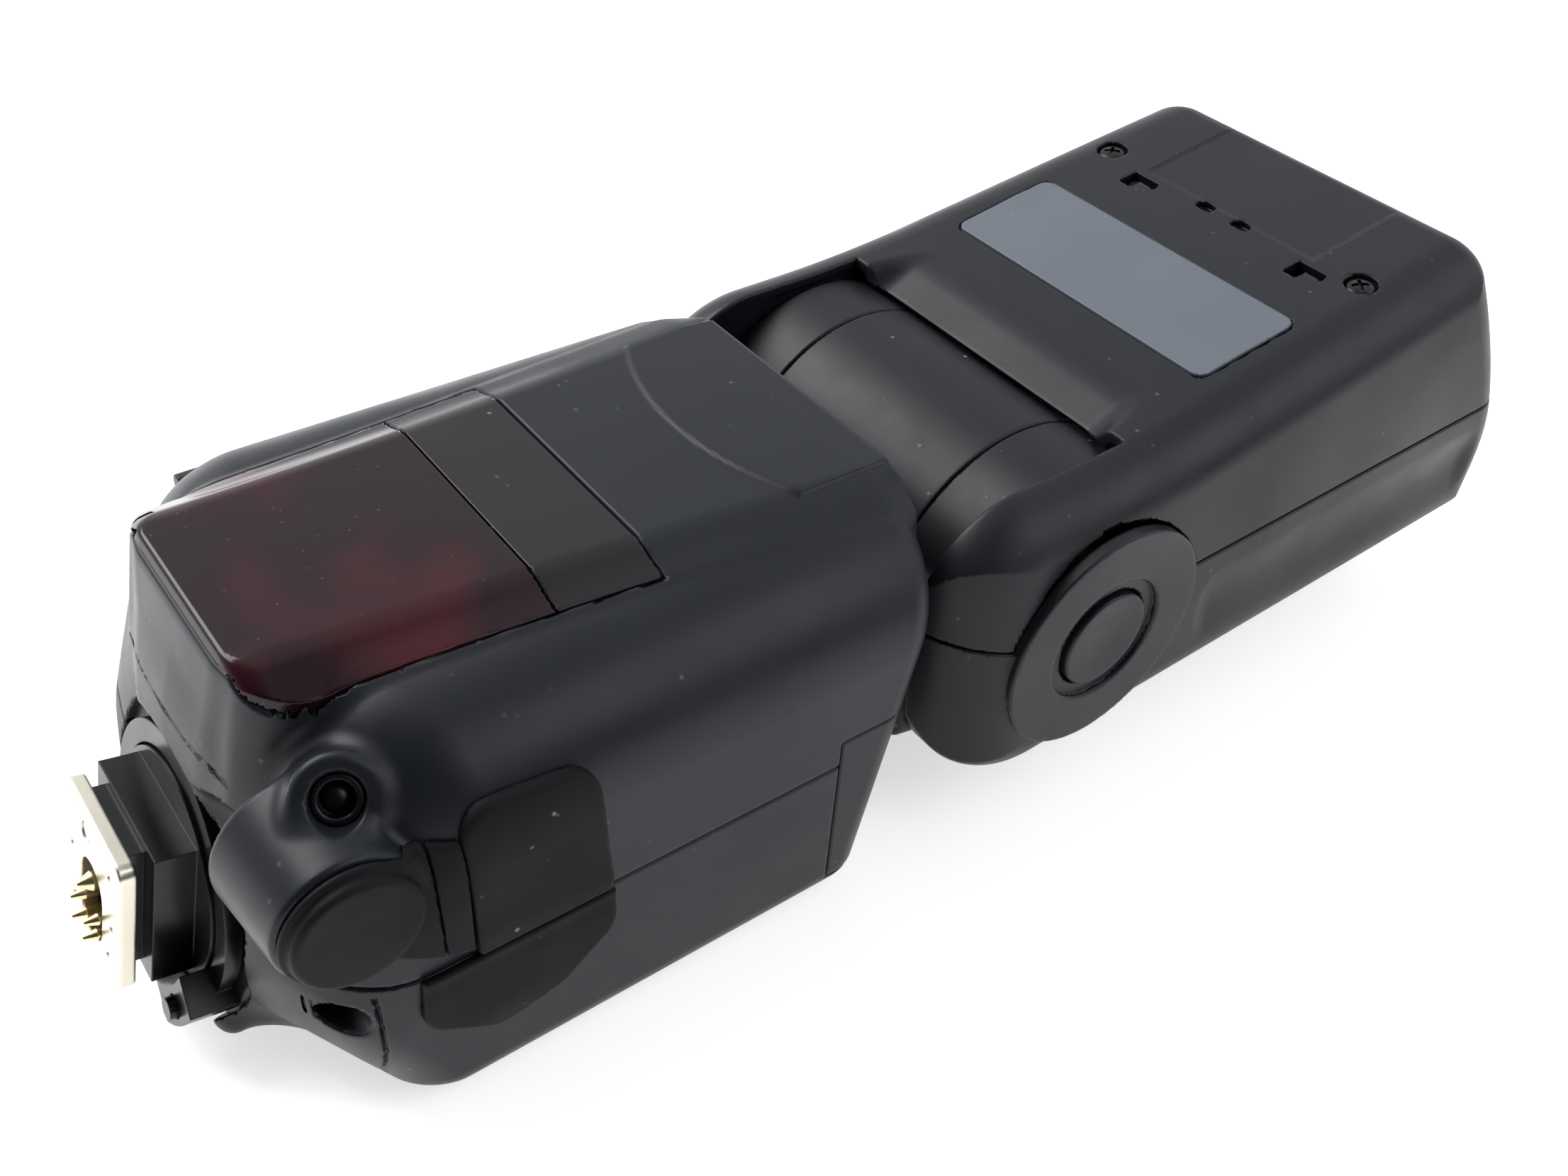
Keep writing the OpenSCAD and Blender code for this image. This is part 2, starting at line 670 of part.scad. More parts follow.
module left_pivot_cover() {
  color([0.085, 0.09, 0.1]) head_frame() difference() {
    rod_y(0, 0, 35.2, -ear_out - 0.3, -ear_out + 1.3);
    rod_y(0, 0, 15.4, -60, 0);
  }
}

module right_pivot_cover() {
  color([0.085, 0.09, 0.1]) head_frame() rod_y(0, 0, 35.2, ear_out - 1.3, ear_out + 0.3);
}

module tilt_release() {
  color([0.1, 0.105, 0.115]) head_frame() {
    rod_y(0, 0, 14.8, -ear_out - 0.3, -ear_out + 2.2);
  }
}

module head_screws() {
  color([0.1, 0.1, 0.11]) head_frame() on_label() for (y = [-25.6, 25.6]) translate([34.4, y, 0]) {
    difference() {
      translate([0, 0, -1.5]) cylinder(d = 4.2, h = 1.3);
      for (a = [0, 90]) rotate(a) translate([-1.3, -0.3, -0.8]) cube([2.6, 0.6, 2]);
    }
    translate([0, 0, -7]) cylinder(d = 2.3, h = 5.6);
  }
}

module lens_frame() {
  color([0.06, 0.06, 0.065]) head_frame() on_lens() difference() {
    block(-6, 0, -30.6, 30.6, -lens_h / 2, lens_h / 2);
    block(-8, 2, -27.4, 27.4, -lens_h / 2 + 3.2, lens_h / 2 - 3.2);
    block(-3.4, 2, -29, 29, -lens_h / 2 + 1.6, lens_h / 2 - 1.6);
  }
}

module fresnel_lens() {
  color([0.85, 0.88, 0.9]) head_frame() on_lens() {
    block(-2.8, -0.9, -28.8, 28.8, -lens_h / 2 + 1.8, lens_h / 2 - 1.8);
    for (z = [-12:3:9]) block(-3.3, -2.8, -26.5, 26.5, z + 0.8, z + 2.2);
  }
}

module wide_panel() {
  color([0.8, 0.82, 0.84]) head_frame() {
    block(44, 89, -27.6, 27.6, -16.4, -15.3);
    block(89, 91.4, -10, 10, -16.4, -15.3);
  }
}

module catchlight_card() {
  color([0.93, 0.93, 0.92]) head_frame() {
    block(44, 89, -27.6, 27.6, -17.8, -16.9);
    block(89, 91.4, 12, 20, -17.8, -16.9);
  }
}

module reflector() {
  color([0.85, 0.85, 0.86]) head_frame() difference() {
    slab_yz([[-26, -10.6], [26, -10.6], [26, 15.6], [-26, 15.6]], 40, 62);
    translate([44, 0, 2.5]) slab_xz([[0, -4], [19, -12], [19, 12], [0, 4]], 50);
    rod_y(48, 2.5, 5, -30, 30);
  }
  color([0.3, 0.3, 0.32]) head_frame() difference() {
    block(42, 52, -23.4, -16.6, -14.4, -10.6);
    rod_x(-20, -12.8, 2 + 2 * fit, 30, 70);
  }
}

module flash_tube() {
  color([0.9, 0.92, 0.95]) head_frame() rod_y(48, 2.5, 4.6, -28, 28);
}

module zoom_motor() {
  color([0.6, 0.6, 0.62]) head_frame() rod_x(-20, -9.6, 9, 26.4, 33.4);
}

module lead_screw() {
  color([0.75, 0.75, 0.76]) head_frame() {
    rod_x(-20, -12.8, 2, 33.5, 81);
  }
}

module head_board() {
  color([0.05, 0.3, 0.12]) head_frame() {
    block(30, 78, -24, 24, 19, 20.2);
    block(34, 46, -8, 8, 20.2, 22);
  }
}

front_shell();
rear_shell();
base_plate();
af_window();
sensor_panel();
front_badge();
metering_lens();
pc_socket();
power_socket();
bracket_insert();
rear_corner_panel();
power_cover_anchor();
lcd_window();
lcd_module();
main_board();
main_capacitor();
battery_case();
battery_cells();
battery_contacts();
foot_block();
hot_shoe_foot();
pc_cap();
power_cover();
battery_door();
door_contacts();
door_lock();
lock_lever();
lock_pin();
lever_release();
contact_pins();
function_button_1();
function_button_2();
function_button_3();
function_button_4();
wireless_button();
lamp_button();
select_dial();
set_button();
power_switch();
swivel_ring();
turret_drum();
turret_cheeks();
tilt_axles();
head_front_shell();
head_rear_shell();
label_plate();
left_pivot_cover();
right_pivot_cover();
tilt_release();
head_screws();
lens_frame();
fresnel_lens();
wide_panel();
catchlight_card();
reflector();
flash_tube();
zoom_motor();
lead_screw();
head_board();
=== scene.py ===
# Speedlight flash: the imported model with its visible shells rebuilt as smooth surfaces.
# Lengths are in millimetres, with x from the middle of the shoe foot, until a piece is placed.
import json
import math
import bpy
import numpy as np
from mathutils import Matrix, Vector

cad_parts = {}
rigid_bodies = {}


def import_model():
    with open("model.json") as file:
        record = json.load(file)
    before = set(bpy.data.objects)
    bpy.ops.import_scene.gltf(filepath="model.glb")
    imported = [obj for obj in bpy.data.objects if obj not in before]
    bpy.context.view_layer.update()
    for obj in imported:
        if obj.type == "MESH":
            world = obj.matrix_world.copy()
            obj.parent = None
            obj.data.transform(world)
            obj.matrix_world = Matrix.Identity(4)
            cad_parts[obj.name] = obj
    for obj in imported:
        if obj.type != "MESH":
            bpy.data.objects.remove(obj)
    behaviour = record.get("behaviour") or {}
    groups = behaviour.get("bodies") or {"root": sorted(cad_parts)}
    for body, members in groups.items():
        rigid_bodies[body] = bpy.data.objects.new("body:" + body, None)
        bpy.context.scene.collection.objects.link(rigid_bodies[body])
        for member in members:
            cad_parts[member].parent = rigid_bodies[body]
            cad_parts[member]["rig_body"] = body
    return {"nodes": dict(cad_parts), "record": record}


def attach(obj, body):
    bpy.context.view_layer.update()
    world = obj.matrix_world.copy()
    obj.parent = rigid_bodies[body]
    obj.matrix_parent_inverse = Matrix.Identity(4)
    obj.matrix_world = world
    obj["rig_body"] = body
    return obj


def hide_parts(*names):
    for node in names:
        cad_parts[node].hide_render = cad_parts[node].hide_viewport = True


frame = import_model()
NODES = frame["nodes"]
FOOT_X = 107.99                     # from the middle of the flash to the foot
FOOT_Z = 21.5                       # height of the middle of the foot
RAKE = math.radians(12)             # foot's axis against the table
LEAN = math.radians(2.5)            # head's axis against the table
PIVOT = (125.5, 27.9)               # tilt axle, as x and z
BASE_U, END_U = 8.8, 90.0           # ends of the body, along the foot's axis
HALF = 36.4                         # half width of the body
WALL = 2.2
SEAM = 25.6                         # height of the body's parting line
SPLIT, WINDOW_END = 50.5, 63.75     # between the red window and the dark one, and past both
SYNC = (18, 39.2)                   # sockets and bracket hole on the near side, as x and z
POWER = (38, 40)
BRACKET = (16.2, 20.6)
EYE = (21, -28, 48.8)               # metering lens
EYE_AXIS = (-0.2506, -0.7431, 0.6204)
DRUM_R = 22
HEAD_HALF = 39.2                    # half width of the head
DISC_R = 17.6                       # pivot covers
STRIP = 4.5                         # the head's parting line, above its axis
LABEL_AT, LABEL_TILT = (26.2, 25.19), math.atan(0.1165)
LIGHT_AT, LIGHT_TILT = (88.4, 4.6), math.radians(10)
COARSE, FINE = ((0.5, 0.34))    # cells of the meshes

MM = Matrix.Scale(0.001, 4)
FLAT = MM @ Matrix.Translation((-FOOT_X, 0, 0))
RAKED = MM @ Matrix.Translation((-FOOT_X, 0, FOOT_Z)) @ Matrix.Rotation(RAKE, 4, "Y")
HEAD = MM @ Matrix.Translation((PIVOT[0] - FOOT_X, 0, PIVOT[1])) @ Matrix.Rotation(-LEAN, 4, "Y")
LABEL = HEAD @ Matrix.Translation((LABEL_AT[0], 0, LABEL_AT[1])) @ Matrix.Rotation(-LABEL_TILT, 4, "Y")


def raked(x, z):
    """Place in the foot's own axes: along its axis, and up."""
    return (x * math.cos(RAKE) - (z - FOOT_Z) * math.sin(RAKE),
            x * math.sin(RAKE) + (z - FOOT_Z) * math.cos(RAKE))


DRUM_U, DRUM_W = raked(*PIVOT)


# ---------- distance fields ----------

def inter(a, b, r=0.0):
    """Both a and b, with the edge between them rounded by r."""
    if r == 0:
        return np.maximum(a, b)
    corner = np.hypot(np.maximum(a + r, 0), np.maximum(b + r, 0))
    return np.minimum(np.maximum(a, b), -r) + corner


def union(a, b, r=0.0):
    return -inter(-a, -b, r)


def cut(a, b, r=0.0):
    return inter(a, -b, r)


def soft_max(a, b, k):
    """For planes that meet at a shallow angle."""
    h = np.maximum(k - np.abs(a - b), 0) / k
    return np.maximum(a, b) + h * h * k / 4


def soft_min(a, b, k):
    return -soft_max(-a, -b, k)


def box(x, y, z, x0, x1, y0, y1, z0, z1, r=0.0):
    half = [(b - a) / 2 - r for a, b in ((x0, x1), (y0, y1), (z0, z1))]
    mid = [(a + b) / 2 for a, b in ((x0, x1), (y0, y1), (z0, z1))]
    q = [np.abs(v - m) - h for v, m, h in zip((x, y, z), mid, half)]
    out = np.sqrt(sum(np.maximum(v, 0) ** 2 for v in q))
    return out + np.minimum(np.maximum(np.maximum(q[0], q[1]), q[2]), 0) - r


def rod(u, v, w, radius, w0, w1, r=0.0):
    """A round rod along w."""
    return inter(np.hypot(u, v) - radius, np.abs(w - (w0 + w1) / 2) - (w1 - w0) / 2, r)


def polygon(u, v, points, r=0.0):
    """Distance to a closed outline, whose corners are rounded by r."""
    d = np.full(u.shape, 1e9)
    s = np.ones(u.shape)
    for (ax, ay), (bx, by) in zip(points, points[-1:] + points[:-1]):
        ex, ey = bx - ax, by - ay
        wx, wy = u - ax, v - ay
        t = np.clip((wx * ex + wy * ey) / (ex * ex + ey * ey), 0, 1)
        d = np.minimum(d, (wx - ex * t) ** 2 + (wy - ey * t) ** 2)
        c1, c2, c3 = v >= ay, v < by, ex * wy > ey * wx
        s = np.where((c1 & c2 & c3) | (~c1 & ~c2 & ~c3), -s, s)
    return s * np.sqrt(d) - r


# ---------- from field to mesh ----------

N = 8
CORNERS = np.stack(np.meshgrid(*[np.arange(N + 1)] * 3, indexing="ij"), -1)
EDGES = [(0, 1), (2, 3), (4, 5), (6, 7), (0, 2), (1, 3), (4, 6), (5, 7), (0, 4), (1, 5), (2, 6), (3, 7)]


def gradient(f, p, e):
    g = np.empty_like(p)
    for k in range(3):
        s = np.zeros(3)
        s[k] = e
        a, b = p + s, p - s
        g[:, k] = (f(a[:, 0], a[:, 1], a[:, 2]) - f(b[:, 0], b[:, 1], b[:, 2])) / (2 * e)
    return g


def net(f, lo, hi, h):
    """Vertices, normals and four-sided faces of f = 0 inside lo..hi, on cells of h."""
    lo = np.array(lo, float) - 1.5 * h
    blocks = np.ceil((np.array(hi, float) + 1.5 * h - lo) / h / N).astype(int)
    b = np.stack(np.meshgrid(*[np.arange(k) for k in blocks], indexing="ij"), -1).reshape(-1, 3)
    mid = lo + (b + 0.5) * N * h
    b = b[np.abs(f(mid[:, 0], mid[:, 1], mid[:, 2])) < 1.05 * N * h]
    at = lo + h * (b[:, None, None, None, :] * N + CORNERS)
    v = f(at[..., 0], at[..., 1], at[..., 2])
    size = blocks * N + 2
    i = CORNERS[:N, :N, :N].reshape(-1, 3)
    eight = np.stack([v[:, dx:N + dx, dy:N + dy, dz:N + dz].reshape(len(b), -1)
                      for dx in (0, 1) for dy in (0, 1) for dz in (0, 1)], -1)
    inside = (eight < 0).sum(-1)
    bi, ci = np.nonzero((inside > 0) & (inside < 8))
    cell = b[bi] * N + i[ci]
    val = eight[bi, ci]
    off = np.array([(dx, dy, dz) for dx in (0, 1) for dy in (0, 1) for dz in (0, 1)], float)
    total = np.zeros((len(cell), 3))
    count = np.zeros(len(cell))
    for p, q in EDGES:
        a, c = val[:, p], val[:, q]
        m = (a < 0) != (c < 0)
        t = a[m] / (a[m] - c[m])
        total[m] += off[p] + t[:, None] * (off[q] - off[p])
        count[m] += 1
    vert = lo + h * (cell + total / count[:, None])
    ids = (cell[:, 0] * size[1] + cell[:, 1]) * size[2] + cell[:, 2]
    order = np.argsort(ids)
    ranked = ids[order]

    def find(c):
        k = (c[:, 0] * size[1] + c[:, 1]) * size[2] + c[:, 2]
        n = np.clip(np.searchsorted(ranked, k), 0, len(ranked) - 1)
        return np.where(ranked[n] == k, order[n], -1)

    faces = []
    start = v[:, :N, :N, :N].reshape(len(b), -1)
    for axis in range(3):
        step = [0, 0, 0]
        step[axis] = 1
        end = v[:, step[0]:N + step[0], step[1]:N + step[1], step[2]:N + step[2]].reshape(len(b), -1)
        bi, ci = np.nonzero((start < 0) != (end < 0))
        c = b[bi] * N + i[ci]
        e1, e2 = np.zeros(3, int), np.zeros(3, int)
        e1[(axis + 1) % 3] = 1
        e2[(axis + 2) % 3] = 1
        quad = np.stack([find(c), find(c - e1), find(c - e1 - e2), find(c - e2)], -1)
        flip = start[bi, ci] > 0
        quad[flip] = quad[flip][:, ::-1]
        faces.append(quad[(quad >= 0).all(-1)])
    faces = np.concatenate(faces)
    for _ in range(2):
        g = gradient(f, vert, 0.2 * h)
        d = f(vert[:, 0], vert[:, 1], vert[:, 2])
        move = -g * (d / np.maximum((g * g).sum(-1), 0.3))[:, None]
        reach = np.linalg.norm(move, axis=1)
        vert = vert + move * np.minimum(1, 0.35 * h / np.maximum(reach, 1e-9))[:, None]
    g = gradient(f, vert, 0.3 * h)
    return vert, g / np.maximum(np.linalg.norm(g, axis=1), 1e-9)[:, None], faces


def piece(name, f, lo, hi, h, place, body, mat, stands_for=()):
    """A mesh of field f, placed by a matrix, riding on a body."""
    vert, normal, faces = net(f, lo, hi, h)
    m = np.array(place)
    vert = vert @ m[:3, :3].T + m[:3, 3]
    normal = normal @ m[:3, :3].T
    normal /= np.maximum(np.linalg.norm(normal, axis=1), 1e-9)[:, None]
    me = bpy.data.meshes.new(name)
    me.vertices.add(len(vert))
    me.vertices.foreach_set("co", vert.astype(np.float32).ravel())
    me.loops.add(faces.size)
    me.loops.foreach_set("vertex_index", faces.astype(np.int32).ravel())
    me.polygons.add(len(faces))
    me.polygons.foreach_set("loop_start", np.arange(0, faces.size, 4, dtype=np.int32))
    me.update(calc_edges=True)
    me.polygons.foreach_set("use_smooth", np.ones(len(faces), bool))
    me.normals_split_custom_set_from_vertices(normal.astype(np.float32))
    me.materials.append(mat)
    o = bpy.data.objects.new(name, me)
    bpy.context.scene.collection.objects.link(o)
    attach(o, body)
    if stands_for:
        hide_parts(*stands_for)
    return o


# ---------- materials ----------

def shader(name):
    mat = bpy.data.materials.new(name)
    mat.use_nodes = True
    t = mat.node_tree
    return mat, t, t.nodes["Principled BSDF"]


def node(t, kind, **sockets):
    n = t.nodes.new("ShaderNode" + kind)
    for k, v in sockets.items():
        n.inputs[k.replace("_", " ")].default_value = v
    return n


def moulded(name, colour, rough, grain=0.006, grain_size=1600, dust=0.0, smudge=0.08, edge=0.0,
            metal=0.0, tint=(0.35, 0.34, 0.32), spec=0.5):
    """Moulded or metal finish: fine grain in the surface, uneven sheen, and a little dust.
    grain is the depth of the grain and edge the round of the edges, in millimetres."""
    mat, t, p = shader(name)
    p.inputs["Metallic"].default_value = metal
    p.inputs["Specular IOR Level"].default_value = spec
    at = t.nodes.new("ShaderNodeTexCoord")
    fine = node(t, "TexNoise", Scale=grain_size, Detail=3.0, Roughness=0.6)
    wide = node(t, "TexNoise", Scale=38.0, Detail=5.0, Roughness=0.62)
    t.links.new(at.outputs["Object"], fine.inputs["Vector"])
    t.links.new(at.outputs["Object"], wide.inputs["Vector"])
    sheen = node(t, "MapRange", From_Min=0.3, From_Max=0.7, To_Min=rough - smudge, To_Max=rough + smudge)
    t.links.new(wide.outputs["Fac"], sheen.inputs["Value"])
    t.links.new(sheen.outputs["Result"], p.inputs["Roughness"])
    bump = node(t, "Bump", Strength=1.0, Distance=grain * 0.001)
    t.links.new(fine.outputs["Fac"], bump.inputs["Height"])
    if edge:
        bevel = node(t, "Bevel", Radius=edge * 0.001)
        bevel.samples = 4
        t.links.new(bevel.outputs["Normal"], bump.inputs["Normal"])
    t.links.new(bump.outputs["Normal"], p.inputs["Normal"])
    shade = t.nodes.new("ShaderNodeMix")
    shade.data_type = "RGBA"
    shade.inputs["A"].default_value = (*[c * 0.82 for c in colour], 1)
    shade.inputs["B"].default_value = (*[min(c * 1.18, 1) for c in colour], 1)
    t.links.new(wide.outputs["Fac"], shade.inputs["Factor"])
    last = shade.outputs["Result"]
    if dust:
        cells = node(t, "TexVoronoi", Scale=520.0, Randomness=1.0)
        t.links.new(at.outputs["Object"], cells.inputs["Vector"])
        near = node(t, "MapRange", From_Min=0.10, From_Max=0.20, To_Min=1.0, To_Max=0.0)
        t.links.new(cells.outputs["Distance"], near.inputs["Value"])
        patch = node(t, "TexNoise", Scale=240.0, Detail=2.0)
        t.links.new(at.outputs["Object"], patch.inputs["Vector"])
        some = node(t, "MapRange", From_Min=0.62, From_Max=0.72, To_Min=0.0, To_Max=dust)
        t.links.new(patch.outputs["Fac"], some.inputs["Value"])
        both = t.nodes.new("ShaderNodeMath")
        both.operation = "MULTIPLY"
        t.links.new(near.outputs["Result"], both.inputs[0])
        t.links.new(some.outputs["Result"], both.inputs[1])
        mix = t.nodes.new("ShaderNodeMix")
        mix.data_type = "RGBA"
        mix.inputs["B"].default_value = (*tint, 1)
        t.links.new(both.outputs[0], mix.inputs["Factor"])
        t.links.new(last, mix.inputs["A"])
        last = mix.outputs["Result"]
    t.links.new(last, p.inputs["Base Color"])
    return mat


BODY = moulded("body_plastic", (0.0075, 0.009, 0.012), 0.40, dust=0.2, spec=0.26)
HEADM = moulded("head_plastic", (0.0075, 0.0085, 0.011), 0.42, dust=0.2, spec=0.26)
TURRET = moulded("turret_plastic", (0.007, 0.0078, 0.010), 0.46, dust=0.9, spec=0.26)
TRIM = moulded("trim_plastic", (0.008, 0.0095, 0.012), 0.42, edge=0.35, spec=0.26)
RUBBER = moulded("cover_rubber", (0.0045, 0.0047, 0.0055), 0.66, grain=0.02, grain_size=900, dust=0.8,
                 smudge=0.12, spec=0.14)
GLOSS = moulded("black_gloss", (0.004, 0.004, 0.005), 0.26, grain=0.002, edge=0.3, spec=0.3)
DARK = moulded("window_dark", (0.008, 0.006, 0.008), 0.30, grain=0.002, dust=0.4, smudge=0.05,
               spec=0.3)
FOOT = moulded("foot_metal", (0.68, 0.64, 0.54), 0.30, grain=0.03, grain_size=420, edge=0.3, metal=1.0,
               dust=0.5, tint=(0.05, 0.045, 0.04))
STEEL = moulded("spring_metal", (0.66, 0.66, 0.67), 0.25, edge=0.2, metal=1.0)
GOLD = moulded("contact_gold", (0.78, 0.64, 0.36), 0.26, edge=0.1, metal=1.0)
LABELM = moulded("label_grey", (0.105, 0.12, 0.145), 0.42, grain=0.004, dust=0.3)
KEY = moulded("key_grey", (0.035, 0.036, 0.04), 0.5, edge=0.4)
ORANGE = moulded("key_orange", (0.42, 0.12, 0.02), 0.5, edge=0.4)
SCREEN = moulded("screen_back", (0.11, 0.135, 0.11), 0.45, edge=0.2)
BOARD = moulded("board_green", (0.01, 0.07, 0.025), 0.4, edge=0.2)
SLEEVE = moulded("cap_sleeve", (0.012, 0.014, 0.07), 0.3, edge=0.3)
CELL = moulded("cell_jacket", (0.45, 0.30, 0.06), 0.28, edge=0.3, metal=0.6)
BRIGHT = moulded("reflector_metal", (0.82, 0.82, 0.84), 0.16, edge=0.2, metal=1.0)
CARD = moulded("card_white", (0.8, 0.8, 0.78), 0.5, edge=0.1)


def clear(name, colour, rough, weight, grain=0.01):
    """Clear or tinted moulding: light passes through, with a hard sheen on top."""
    mat, t, p = shader(name)
    p.inputs["Base Color"].default_value = (*colour, 1)
    p.inputs["Transmission Weight"].default_value = weight
    p.inputs["IOR"].default_value = 1.45
    at = t.nodes.new("ShaderNodeTexCoord")
    wave = node(t, "TexNoise", Scale=160.0, Detail=3.0)
    t.links.new(at.outputs["Object"], wave.inputs["Vector"])
    bump = node(t, "Bump", Strength=1.0, Distance=grain * 0.001)
    t.links.new(wave.outputs["Fac"], bump.inputs["Height"])
    t.links.new(bump.outputs["Normal"], p.inputs["Normal"])
    sheen = node(t, "MapRange", To_Min=rough * 0.6, To_Max=rough * 1.6)
    t.links.new(wave.outputs["Fac"], sheen.inputs["Value"])
    t.links.new(sheen.outputs["Result"], p.inputs["Roughness"])
    return mat


GLASS = clear("lens_clear", (0.86, 0.9, 0.93), 0.12, 0.85)
PANE = clear("screen_glass", (0.7, 0.76, 0.72), 0.06, 0.8)


def red_window():
    """Deep red gloss with faint brighter patches, as from parts behind it."""
    mat, t, p = shader("window_red")
    at = t.nodes.new("ShaderNodeTexCoord")
    blot = node(t, "TexNoise", Scale=62.0, Detail=1.5, Roughness=0.4)
    t.links.new(at.outputs["Object"], blot.inputs["Vector"])
    fade = node(t, "MapRange", From_Min=0.52, From_Max=0.74, To_Min=0.0, To_Max=1.0)
    t.links.new(blot.outputs["Fac"], fade.inputs["Value"])
    mix = t.nodes.new("ShaderNodeMix")
    mix.data_type = "RGBA"
    mix.inputs["A"].default_value = (0.012, 0.003, 0.006, 1)
    mix.inputs["B"].default_value = (0.045, 0.004, 0.007, 1)
    t.links.new(fade.outputs["Result"], mix.inputs["Factor"])
    cells = node(t, "TexVoronoi", Scale=430.0)
    t.links.new(at.outputs["Object"], cells.inputs["Vector"])
    speck = node(t, "MapRange", From_Min=0.04, From_Max=0.08, To_Min=0.16, To_Max=0.0)
    t.links.new(cells.outputs["Distance"], speck.inputs["Value"])
    top = t.nodes.new("ShaderNodeMix")
    top.data_type = "RGBA"
    top.inputs["B"].default_value = (0.3, 0.26, 0.26, 1)
    t.links.new(speck.outputs["Result"], top.inputs["Factor"])
    t.links.new(mix.outputs["Result"], top.inputs["A"])
    t.links.new(top.outputs["Result"], p.inputs["Base Color"])
    p.inputs["Roughness"].default_value = 0.16
    p.inputs["Specular IOR Level"].default_value = 0.26
    return mat


RED = red_window()

FINISH = {
    "body_plastic": TRIM, "head_plastic": TRIM, "turret_plastic": TURRET, "window_red": RED,
    "window_dark": DARK, "cover_rubber": RUBBER, "lens_clear": GLASS, "foot_metal": FOOT,
    "spring_metal": STEEL, "contact_gold": GOLD, "black_gloss": GLOSS, "label_grey": LABELM,
    "key_grey": KEY, "key_orange": ORANGE, "screen_glass": PANE, "screen_back": SCREEN,
    "board_green": BOARD, "cap_sleeve": SLEEVE, "cell_jacket": CELL, "reflector_metal": BRIGHT,
    "card_white": CARD}
for part in frame["record"]["subparts"]:
    o = NODES[part["node"]]
    o.data.materials.clear()
    o.data.materials.append(FINISH[part["material_slot"]])


# ---------- body ----------

def hull(x, y, z):
    """Outside of the body without the raised front block."""
    u = raked(x, z)[0]
    s = np.abs(y)
    d = inter(s - HALF, z - 54.6, 15.6)
    d = inter(d, -z, 5)
    d = inter(d, BASE_U - u, 12)
    # The four corners of the foot end slope back
    d = inter(d, 6.0 - (0.811 * x - 0.395 * s + 0.426 * z), 4)
    d = inter(d, 0.4337 * s - 0.8266 * x + 0.3561 * z - 12.32, 9)
    # The narrow end face between them, wider at its top and bottom
    ridge = 10.4 + 0.14 * np.maximum(z - 36, 0) + 0.25 * np.maximum(36 - z, 0)
    chin = inter(BASE_U - u, s - ridge, 3)
    chin = inter(inter(inter(chin, z - 56.2, 1), 4 - z, 4), x - 26, 4)
    d = union(d, chin, 4)
    return inter(d, u - END_U, 5)


def width(x):
    """Half width of the raised front block at its crease."""
    return 14.4 + 0.04 * (x - 22) + 0.0006 * (x - 22) ** 2


def roof(x, y, z):
    """Top and flanks of the raised front block, with a low pad near the head."""
    s = np.abs(y)
    pad = np.clip((40.6 - np.hypot(x - 120, y)) / 1.2, 0, 1)
    pad = 0.4 * pad * pad * (3 - 2 * pad) * (s < 19.5)
    top = z - (57.9 + pad - 0.0253 * (x - 16.6))
    flank = (s - width(x)) * 0.50 + top * 0.866
    return inter(top, flank, 0.7)


def block(x, y, z):
    """Raised front block, with its foot end corners sloped back."""
    u = raked(x, z)[0]
    s = np.abs(y)
    d = inter(roof(x, y, z), inter(BASE_U - u, s - width(x) - 0.5 - 1.7 * (57.9 - z), 4), 0.5)
    return inter(d, inter(BASE_U - u, s - width(x) - 5.6, 7), 0.5)


def boss(x, y, z):
    """Tapered round boss that carries the sync socket."""
    r = np.hypot(x - SYNC[0], z - SYNC[1])
    return inter((r - 8.4 - 0.1 * (y + 35.3)) * 0.99, np.maximum(-35.3 - y, y + 22), 0.8)


def along_lens(x, y, z):
    """Distance from the metering lens's axis, and along it."""
    px, py, pz = x - EYE[0], y - EYE[1], z - EYE[2]
    t = px * EYE_AXIS[0] + py * EYE_AXIS[1] + pz * EYE_AXIS[2]
    r = np.sqrt(np.maximum(px * px + py * py + pz * pz - t * t, 0))
    return r, t


def body_all(x, y, z):
    """Outside of the whole body, with its seats for the sync cap and the metering lens."""
    u = raked(x, z)[0]
    raised = inter(np.maximum(block(x, y, z), 40 - z), u - END_U, 0.6)
    d = union(hull(x, y, z), raised, 2.2)
    d = union(d, boss(x, y, z), 1.6)
    d = cut(d, rod(x - SYNC[0], z - SYNC[1], y, 8.3, -50, -35.3), 0.3)
    r, t = along_lens(x, y, z)
    dome = inter(r - 5.0, t - 0.9, 1.0)
    return union(d, np.maximum(dome, -t - 6), 2.0)


def corner(x, y, z, grow=0.0):
    """Reach of the separate panel at the near lower corner of the head end."""
    return box(x, y, z, 81.6 - grow, 120, -60, -27 + grow, 4 - grow, 29.6 + grow)


def well(x, y, z):
    """Round opening in the foot end."""
    u, w = raked(x, z)
    return inter(np.hypot(y, w) - 19.7, u - BASE_U - 3)


def neck(x, y, z):
    """Round opening in the head end, for the turret."""
    u, w = raked(x, z)
    return inter(np.hypot(y, w - DRUM_W) - 16.5, 80 - u)


def hollow(x, y, z):
    return hull(x, y, z) + WALL


def sockets(x, y, z):
    a = rod(x - SYNC[0], z - SYNC[1], y, 4.6, -50, -20)
    b = rod(x - POWER[0], z - POWER[1], y, 4.6, -50, -20)
    r, t = along_lens(x, y, z)
    c = np.maximum(r - 2.8 - 0.25 * np.maximum(t - 0.3, 0), -t - 5)
    return np.minimum(np.minimum(a, b), c)


def door_gap(x, y, z):
    """Opening of the battery door, with room for its two hinge lugs."""
    d = box(x, y, z, 24, 67, 30.4, 60, 5.4, 43.6)
    for x0 in (27.2, 59.8):
        d = np.minimum(d, box(x, y, z, x0, x0 + 6, 30.4, 60, 40, 47.8))
    return d


